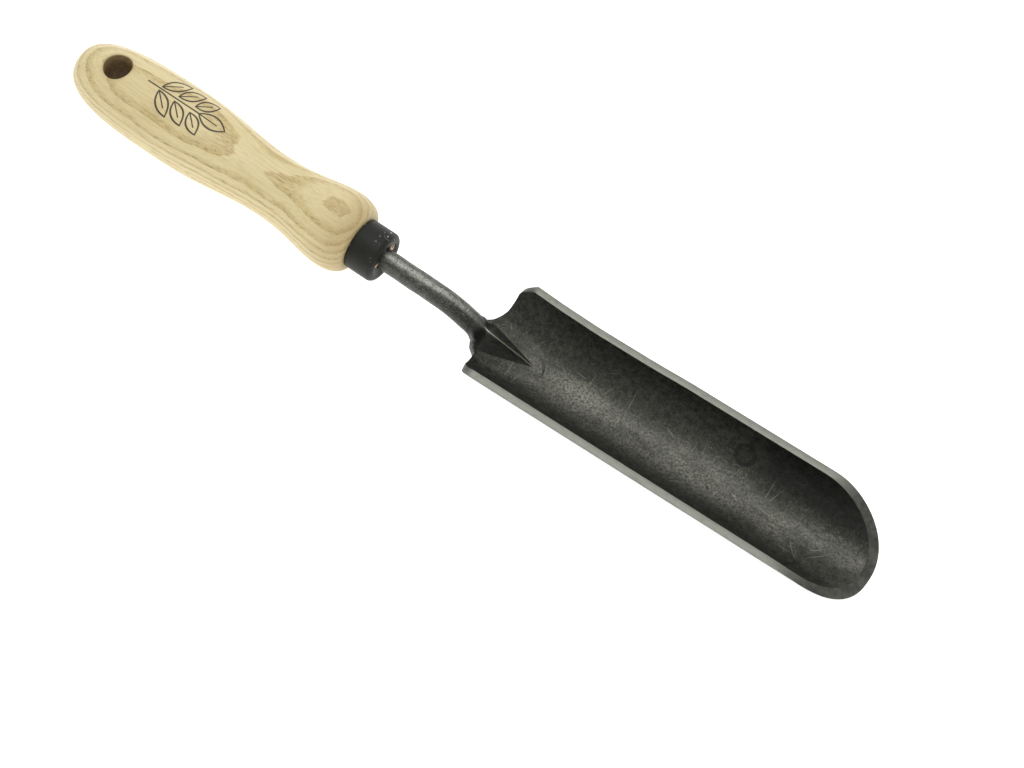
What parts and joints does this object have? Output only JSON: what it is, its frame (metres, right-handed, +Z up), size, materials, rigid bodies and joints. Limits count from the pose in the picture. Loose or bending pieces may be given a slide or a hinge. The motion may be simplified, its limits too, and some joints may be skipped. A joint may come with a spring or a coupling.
{
  "type": "hand transplanter",
  "caption": "Narrow trough-shaped hand transplanter: a round-tipped steel blade on a round shank, held by a steel ferrule in a turned wooden handle.",
  "frame": {"origin": "on the surface that the tool lies on, under the middle of its length", "axes": "+X from the handle's tail to the blade's tip, +Y across the blade, +Z up out of the trough"},
  "size_m": [0.3556, 0.0436, 0.0386],
  "materials": {
    "handle_wood": "pale ash, oiled and sanded smooth, with long grain lines",
    "ferrule_black": "satin black paint over steel, chipped at its front edge",
    "shank_steel": "forged steel, dark and mottled, with bare grey flecks",
    "blade_steel": "dark forged steel plate, finely scratched, with flat ground rims"
  },
  "bodies": {
    "root": {"handle": "handle_wood", "ferrule": "ferrule_black", "shank": "shank_steel", "blade": "blade_steel"}
  },
  "joints": []
}
